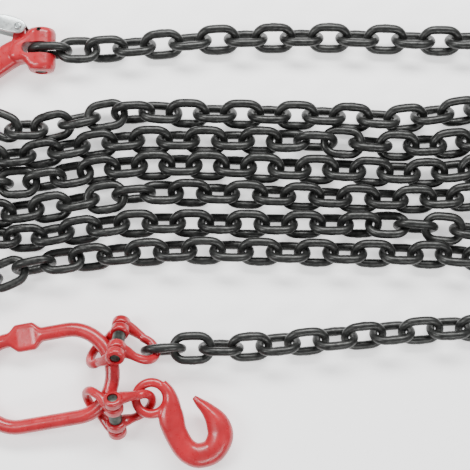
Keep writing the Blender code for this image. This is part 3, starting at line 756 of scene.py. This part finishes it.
def bow_path(outer_side):
    """Centre line and sizes of a half, from its outer eye round the crown to its inner eye."""
    outer, inner = sum(EYE_OUTER) / 2, sum(EYE_INNER) / 2
    centre = BOW_REACH - BOW_HALF
    knots = [
        (outer, 0.0, *BOW_EYE_SIZE), (outer - BOW_OUTER_DRAW, BOW_SHOULDER_AT, *BOW_SHOULDER),
        (BOW_OUTER_LIMB[0], centre - BOW_OUTER_LIMB[1], *BOW_CROWN)]
    for k in range(9):
        angle = math.pi * k / 8
        knots.append((
            BOW_HALF * math.cos(angle), centre + BOW_HALF * math.sin(angle), *BOW_CROWN))
    knots += [
        (-BOW_INNER_LIMB[0], centre - BOW_INNER_LIMB[1], *BOW_CROWN),
        (-inner + BOW_INNER_DRAW, BOW_SHOULDER_AT, *BOW_SHOULDER), (-inner, 0.0, *BOW_EYE_SIZE)]
    dense = smooth_path(knots, 5)
    path = [Vector((out, along * outer_side, 0.0)) for along, out, _, _ in dense]
    return path, [(wide, thick) for _, _, wide, thick in dense]


def half_link(name, origin, out, pin, outer_side, skin, body):
    """One forged half of a connecting link with its two eyes."""
    path, radii = bow_path(outer_side)
    parts = [(sweep(tube_rings(path, radii, BOW_SIDES, UP), False), HERE)]
    for span, side in ((EYE_OUTER, outer_side), (EYE_INNER, -outer_side)):
        eye = rod(EYE_R, span[1] - span[0] - EYE_EASE, EYE_CHAMFER, "Y")
        parts.append((eye, Matrix.Translation((0.0, side * sum(span) / 2, 0.0))))
    bm = forged(parts, [drill(PIN_BORE_R, 3 * EYE_OUTER[1], "Y")])
    show(name + "_forging", bm, skin, body, [name], axes_at(origin, out, pin))


def connecting_link(prefix, names, bodies, origin, tilt, skew, drops, skins):
    """Two forged halves, the load pin and its split spring sleeve."""
    origin = Vector(origin) + SHIFT
    out, pin = pin_axes(tilt, skew, drops[0], -1)
    half_link(f"{prefix}_{names[0]}", origin, out, pin, 1, skins["paint"], bodies[0])
    out, pin = pin_axes(tilt, skew, drops[1], 1)
    half_link(f"{prefix}_{names[1]}", origin, out, pin, -1, skins["paint"], bodies[1])
    matrix = axes_at(origin, out, pin)
    bar = rod(PIN_R, PIN_LENGTH, PIN_CHAMFER, "Y")
    show(f"{prefix}_pin", bar, skins["pin"], bodies[2],
         [f"{prefix}_load_pin"], matrix)
    sleeve = bush(SLEEVE_R, PIN_BORE_R, SLEEVE_LENGTH, SLEEVE_CHAMFER, slit=SLEEVE_SLIT)
    show(f"{prefix}_sleeve", sleeve, skins["pin"], bodies[2],
         [f"{prefix}_spring_sleeve"], matrix)


# ---------------------------------------------------------------- master link
RING_ARC = 24  # stations round each end
RING_SIDES = 28
PAD_STEPS = 14
PAD_NECK = (0.0035, 0.0085)  # how far past the pad its neck starts, and the neck's length
SOFT_EDGES = 60  # degrees, where shading breaks on the smoothest pieces


def ease(x):
    """A soft step from 0 to 1."""
    x = max(0.0, min(1.0, x))
    return x * x * (3 - 2 * x)


def master_link(skin):
    """The oblong ring, its bar widened into a flat pad on one side."""
    path, radii, flats = [], [], []
    half = RING_STRAIGHT / 2
    for side in (1, -1):
        for k in range(RING_ARC + 1):
            angle = side * math.pi / 2 - math.pi * k / RING_ARC
            x = side * half + RING_CROWN * math.cos(angle)
            path.append(Vector((x, RING_HALF_WIDTH * math.sin(angle), 0.0)))
            radii.append((RING_R, RING_R))
            flats.append(RING_R)
        if side == 1:
            for k in range(1, PAD_STEPS):
                path.append(Vector((half - 2 * half * k / PAD_STEPS, -RING_HALF_WIDTH, 0.0)))
                radii.append((RING_R, RING_R))
                flats.append(RING_R)
    for k in range(1, 2 * PAD_STEPS):
        x = -half + 2 * half * k / (2 * PAD_STEPS)
        reach = abs(x - PAD_AT)
        full = ease((PAD_HALF_LENGTH + PAD_NECK[0] - reach) / PAD_NECK[1])
        path.append(Vector((x, RING_HALF_WIDTH, 0.0)))
        radii.append((RING_R + (PAD_HALF_WIDTH - RING_R) * full, RING_R))
        flats.append(RING_R + (PAD_HALF_THICK - RING_R) * full)
    rings = tube_rings(path, radii, RING_SIDES, UP, closed=True)
    for ring, flat in zip(rings, flats):
        for point in ring:
            point.z = math.copysign(min(abs(point.z), flat), point.z)
    yaw, rise = math.radians(RING_YAW), math.radians(RING_RISE)
    x_axis = (math.cos(yaw) * math.cos(rise), math.sin(yaw) * math.cos(rise), math.sin(rise))
    matrix = axes_at(Vector(RING_CENTRE) + SHIFT, x_axis, (-math.sin(yaw), math.cos(yaw), 0.0))
    bm = sweep(rings, closed=True)
    show("master_link_forging", bm, skin, "master_link", ["master_link"], matrix,
         SOFT_EDGES)


# ---------------------------------------------------------------- grab hook
GRAB_EYE_STEPS = 48
GRAB_RIM_SIDES = 16
GRAB_RIM_SQUARE = 0.85
GRAB_LINE = [  # x, y, half width, half thickness, squareness, from the eye to the point
    (0.0085, 0.0118, 0.0045, 0.0056, 0.9), (0.0140, 0.0060, 0.0048, 0.0062, 0.9),
    (0.0165, -0.0020, 0.0068, 0.0070, 0.85), (0.0162, -0.0100, 0.0098, 0.0076, 0.8),
    (0.0170, -0.0180, 0.0108, 0.0079, 0.8), (0.0195, -0.0265, 0.0100, 0.0080, 0.85),
    (0.0235, -0.0345, 0.0097, 0.0080, 0.85), (0.0275, -0.0405, 0.0098, 0.0080, 0.9),
    (0.0328, -0.0449, 0.0101, 0.0080, 0.95), (0.0405, -0.0470, 0.0105, 0.0080, 1.0),
    (0.0515, -0.0430, 0.0106, 0.0080, 1.05), (0.0575, -0.0312, 0.0110, 0.0080, 1.15),
    (0.0547, -0.0198, 0.0098, 0.0076, 1.3), (0.0475, -0.0102, 0.0064, 0.0064, 1.4),
    (0.0398, -0.0034, 0.0040, 0.0048, 1.3), (0.0352, 0.0010, 0.0020, 0.0026, 1.0)]


def grab_hook(skin):
    """The forged grab hook: a round eye, a broad shank and a bowl drawn out to a ridged point."""
    matrix = axes_at(
        Vector(GRAB_EYE) + SHIFT, (1.0, 0.0, GRAB_SLOPES[0]), (0.0, 1.0, GRAB_SLOPES[1]))
    dense = smooth_path(GRAB_LINE, 6)
    line = [Vector((x, y, 0.0)) for x, y, _, _, _ in dense]
    radii = [(wide, thick) for _, _, wide, thick, _ in dense]
    square = [knot[4] for knot in dense]
    body = sweep(tube_rings(line, radii, HOOK_SIDES, UP, square=square), False)
    angles = [math.tau * k / GRAB_EYE_STEPS for k in range(GRAB_EYE_STEPS)]
    path = [Vector((math.cos(a), math.sin(a), 0.0)) * GRAB_EYE_R for a in angles]
    sizes = [GRAB_RIM] * GRAB_EYE_STEPS
    rim = sweep(tube_rings(
        path, sizes, GRAB_RIM_SIDES, UP, closed=True, square=GRAB_RIM_SQUARE), True)
    bm = forged([(body, HERE), (rim, HERE)], [], HOOK_VOXEL, GRAB_SMOOTHING)
    show("grab_hook_forging", bm, skin, "grab_hook", ["grab_hook"], matrix,
         SOFT_EDGES)


# ---------------------------------------------------------------- sling hook
HOOK_LINE = [  # x, y, half width, half thickness, from the neck to the point
    (-0.0150, 0.0010, 0.0110, 0.0098), (-0.0240, -0.0025, 0.0112, 0.0090),
    (-0.0325, -0.0077, 0.0112, 0.0085), (-0.0450, -0.0170, 0.0108, 0.0082),
    (-0.0590, -0.0265, 0.0112, 0.0084), (-0.0750, -0.0307, 0.0113, 0.0085),
    (-0.0905, -0.0265, 0.0115, 0.0085), (-0.1010, -0.0145, 0.0118, 0.0085),
    (-0.1050, 0.0010, 0.0114, 0.0084), (-0.1020, 0.0160, 0.0100, 0.0080),
    (-0.0930, 0.0275, 0.0085, 0.0075), (-0.0800, 0.0350, 0.0074, 0.0068),
    (-0.0660, 0.0390, 0.0062, 0.0060), (-0.0540, 0.0397, 0.0048, 0.0050),
    (-0.0500, 0.0397, 0.0030, 0.0034)]
HOOK_SQUARE = 0.8
EAR_CHAMFER = 0.0048
BLOCK_ROUNDING = 0.0062
SLOT_MOUTH = 0.03  # past the ears
SLOT_ARC = 8
CLEVIS_PIN_CHAMFER = 0.0008
ROLL_PIN_CHAMFER = 0.0003
ROLL_PIN_SLIT = 0.5  # radians
ROLL_PIN_SIDES = 24
EAR_OUTLINE = [  # both ears and the root of the neck, before the slot is cut
    (0.0070, 0.0), (0.0070, 0.0110), (0.0062, 0.0168), (0.0030, 0.0190), (-0.0060, 0.0192),
    (-0.0098, 0.0180), (-0.0128, 0.0142), (-0.0165, 0.0105), (-0.0215, 0.0075),
    (-0.0270, 0.0020), (-0.0275, -0.0080), (-0.0215, -0.0115), (-0.0155, -0.0105),
    (-0.0125, -0.0135), (-0.0085, -0.0175), (-0.0025, -0.0192), (0.0030, -0.0190),
    (0.0062, -0.0168), (0.0070, -0.0110)]


def sling_hook_frame(last):
    """The sling hook's frame, with its origin in the middle of the clevis pin."""
    reach = (LINK_LENGTH - PITCH) / 2
    origin = last[2] + last[3] * (reach - LINK_TO_PIN)
    fall = math.radians(HOOK_TILT)
    return axes_at(origin, (math.cos(fall), 0.0, math.sin(fall)), (0.0, 1.0, 0.0))


def sling_hook_body(matrix, skin):
    """The forged hook: round clevis ears, a neck, and a bowl that narrows to the point."""
    dense = smooth_path(HOOK_LINE, 6)
    path = [Vector((x, y, 0.0)) for x, y, _, _ in dense]
    radii = [(wide, thick) for _, _, wide, thick in dense]
    bowl = sweep(tube_rings(path, radii, HOOK_SIDES, UP, square=HOOK_SQUARE), False)
    ears = rod(CLEVIS_EAR_R, CLEVIS_WIDTH, EAR_CHAMFER, "Y")
    outline = smooth_path(EAR_OUTLINE, 3, closed=True)
    block = plate(outline, CLEVIS_HALF_THICK, BLOCK_ROUNDING, 6)
    lug = plate(LUG_OUTLINE, LUG_HALF_THICK, 0.0)
    slot_outline = [(SLOT_MOUTH, -SLOT_HALF), (SLOT_MOUTH, SLOT_HALF)]
    for k in range(SLOT_ARC + 1):
        angle = math.pi / 2 + math.pi * k / SLOT_ARC
        slot_outline.append((
            -SLOT_DEPTH + SLOT_HALF * (1 + math.cos(angle)), SLOT_HALF * math.sin(angle)))
    cuts = [
        (plate(slot_outline, DRILL_LENGTH / 2, 0.0), HERE), drill(CLEVIS_BORE_R, axis="Y"),
        drill(ROLL_PIN_BORE_R, spot=ROLL_PIN_AT), drill(LATCH_BORE_R, spot=LATCH_PIVOT)]
    parts = [(part, HERE) for part in (bowl, ears, block, lug)]
    bm = forged(parts, cuts, HOOK_VOXEL, SLING_SMOOTHING)
    show("sling_hook_forging", bm, skin, "sling_hook", ["sling_hook_body"], matrix)


def clevis_pins(matrix, skin):
    """The clevis pin, and the split roll pin that locks it."""
    raw = helper("raw_pin", rod(CLEVIS_PIN_R, CLEVIS_PIN_LENGTH, CLEVIS_PIN_CHAMFER, "Y"))
    pin = cut_out(raw, [drill(ROLL_PIN_BORE_R, spot=ROLL_PIN_AT)])
    show("clevis_pin_bar", pin, skin, "sling_hook", ["clevis_pin"], matrix)
    upright = Matrix.Rotation(math.pi / 2, 4, "X")
    at = matrix @ Matrix.Translation((*ROLL_PIN_AT, 0.0)) @ upright
    roll = bush(
        ROLL_PIN_R, ROLL_PIN_R * 0.55, ROLL_PIN_LENGTH, ROLL_PIN_CHAMFER, ROLL_PIN_SIDES,
        ROLL_PIN_SLIT)
    show("roll_pin_split", roll, skin, "sling_hook", ["clevis_roll_pin"], at)


# ---------------------------------------------------------------- latch
LATCH_ROUNDING = 0.0012
RIVET_GAP = 0.0003  # between the rivet's heads and the latch's cheeks
RIVET_HEAD = [  # shares of the head's radius and height, from the middle of its face outwards
    (0.3, 0.62), (0.42, 1.0), (0.66, 0.88), (0.82, 0.5), (0.88, 0.1), (0.86, 0.0)]
RIVET_SIDES = 32
SPRING_STEPS = 110
SPRING_START = 80  # degrees
SPRING_LEG = 0.007
SPRING_SIDES = 10


def latch(matrix, skin):
    """The latch: two pressed cheeks joined by a rounded back."""
    at = matrix @ Matrix.Translation((*LATCH_PIVOT, 0.0))
    px, py = LATCH_PIVOT
    outline = [(x - px, y - py) for x, y in LATCH_OUTLINE]
    cavity = [(x - px, y - py) for x, y in LATCH_CAVITY]
    raw = helper(
        "raw_latch", plate(smooth_path(outline, 4, closed=True), LATCH_HALF_THICK, LATCH_ROUNDING))
    room = plate(cavity, LATCH_HALF_THICK - LATCH_SHEET, 0.0)
    bm = cut_out(raw, [(room, HERE), drill(LATCH_BORE_R)])
    show("latch_sheet", bm, skin, "latch", ["latch"], at)


def latch_pin(matrix, skin):
    """A rivet with a domed, dimpled head on each side."""
    head_r, head = LATCH_PIN_HEAD
    side = LATCH_HALF_THICK + RIVET_GAP
    profile = [(head_r * r, side + head * z) for r, z in RIVET_HEAD] + [(LATCH_PIN_R, side)]
    profile += [(r, -z) for r, z in reversed(profile)]
    at = matrix @ Matrix.Translation((*LATCH_PIVOT, 0.0))
    bm = turned(profile, RIVET_SIDES)
    show("latch_rivet", bm, skin, "sling_hook", ["latch_pin"], at)


def latch_spring(matrix, skin):
    """The torsion spring round the rivet, with one straight leg."""
    path = []
    for k in range(SPRING_STEPS + 1):
        angle = math.tau * SPRING_TURNS * k / SPRING_STEPS - math.radians(SPRING_START)
        height = SPRING_Z[0] + (SPRING_Z[1] - SPRING_Z[0]) * k / SPRING_STEPS
        path.append(Vector((SPRING_R * math.cos(angle), SPRING_R * math.sin(angle), height)))
    leg = Vector((-math.sin(angle), math.cos(angle), 0.0))
    path.append(path[-1] + leg * SPRING_LEG)
    radii = [(SPRING_WIRE_R, SPRING_WIRE_R)] * len(path)
    rings = tube_rings(path, radii, SPRING_SIDES, UP)
    at = matrix @ Matrix.Translation((*LATCH_PIVOT, 0.0))
    show("latch_spring_wire", sweep(rings, closed=False), skin, "latch",
         ["latch_spring"], at)


# ---------------------------------------------------------------- camera, floor and light
EYE = Vector((0.0, -0.125, 0.965))
TARGET = Vector((0.0, 0.0, 0.011))
LENS = 86.55
FLOOR_SIZE = 4.0
FLOOR_DEPTH = -0.0003
FLOOR_TONES = ((0.93, 0.93, 0.93), (0.95, 0.95, 0.95))
FLOOR_GLOW = 0.75
SURROUND = 0.45
LIGHTS = [  # name, place, aim, size, power
    ("overhead", (0.10, 0.85, 0.95), (0.0, 0.0, 0.0), (1.4, 0.30), 34.0),
    ("key", (-0.9, -0.1, 0.9), (-0.1, 0.0, 0.0), (0.25, 0.6), 9.0),
    ("fill", (0.5, -0.9, 0.8), (0.0, 0.0, 0.0), (0.9, 0.2), 7.0)]


def camera():
    """Looks down on the sling, framed like the picture it was built from."""
    data = bpy.data.cameras.new("camera")
    data.lens = LENS
    data.sensor_width = 36.0
    item = bpy.data.objects.new("camera", data)
    bpy.context.scene.collection.objects.link(item)
    item.location = EYE + SHIFT
    item.rotation_mode = "QUATERNION"
    item.rotation_quaternion = (TARGET - EYE).to_track_quat("-Z", "Y")
    bpy.context.scene.camera = item


def area_light(name, place, aim, size, power):
    """A soft rectangular light aimed at a point."""
    data = bpy.data.lights.new(name, "AREA")
    data.shape = "RECTANGLE"
    data.size, data.size_y = size
    data.energy = power
    item = bpy.data.objects.new(name, data)
    bpy.context.scene.collection.objects.link(item)
    item.location = place
    item.rotation_mode = "QUATERNION"
    item.rotation_quaternion = (Vector(aim) - Vector(place)).to_track_quat("-Z", "Y")


def studio():
    """A pale, faintly glowing floor, three soft lights and a pale surround."""
    bm = bmesh.new()
    bmesh.ops.create_grid(bm, x_segments=1, y_segments=1, size=FLOOR_SIZE)
    mesh = bpy.data.meshes.new("floor")
    bm.to_mesh(mesh)
    bm.free()
    floor = bpy.data.objects.new("floor", mesh)
    floor.location.z = FLOOR_DEPTH
    made, tree, shader = new_material("floor_white")
    tone = mix(tree, noise(tree, 3.0), *FLOOR_TONES)
    tree.links.new(tone, shader.inputs["Base Color"])
    shader.inputs["Roughness"].default_value = 0.9
    shader.inputs["Emission Color"].default_value = (1.0, 1.0, 1.0, 1.0)
    shader.inputs["Emission Strength"].default_value = FLOOR_GLOW
    mesh.materials.append(made)
    bpy.context.scene.collection.objects.link(floor)
    for light in LIGHTS:
        area_light(*light)
    world = bpy.data.worlds.new("surround")
    world.use_nodes = True
    background = world.node_tree.nodes["Background"]
    background.inputs["Color"].default_value = (1.0, 1.0, 1.0, 1.0)
    background.inputs["Strength"].default_value = SURROUND
    bpy.context.scene.world = world


def main():
    camera()
    studio()
    skins = {
        "chain": chain_steel(), "paint": red_paint(), "pin": pin_steel(),
        "sheet": zinc_sheet(), "spring": spring_steel(), "rivet": rivet_steel()}
    last = chain(skins["chain"])
    connecting_link(
        "upper", ("master_half", "chain_half"),
        ("upper_master_side", "upper_chain_side", "upper_chain_side"),
        UPPER_PIN, UPPER_TILT, UPPER_SKEW, UPPER_DROPS, skins)
    connecting_link(
        "lower", ("master_half", "hook_half"),
        ("lower_master_side", "lower_hook_side", "lower_master_side"),
        LOWER_PIN, LOWER_TILT, LOWER_SKEW, LOWER_DROPS, skins)
    master_link(skins["paint"])
    grab_hook(skins["paint"])
    hook = sling_hook_frame(last)
    sling_hook_body(hook, skins["paint"])
    clevis_pins(hook, skins["pin"])
    latch(hook, skins["sheet"])
    latch_pin(hook, skins["rivet"])
    latch_spring(hook, skins["spring"])


main()
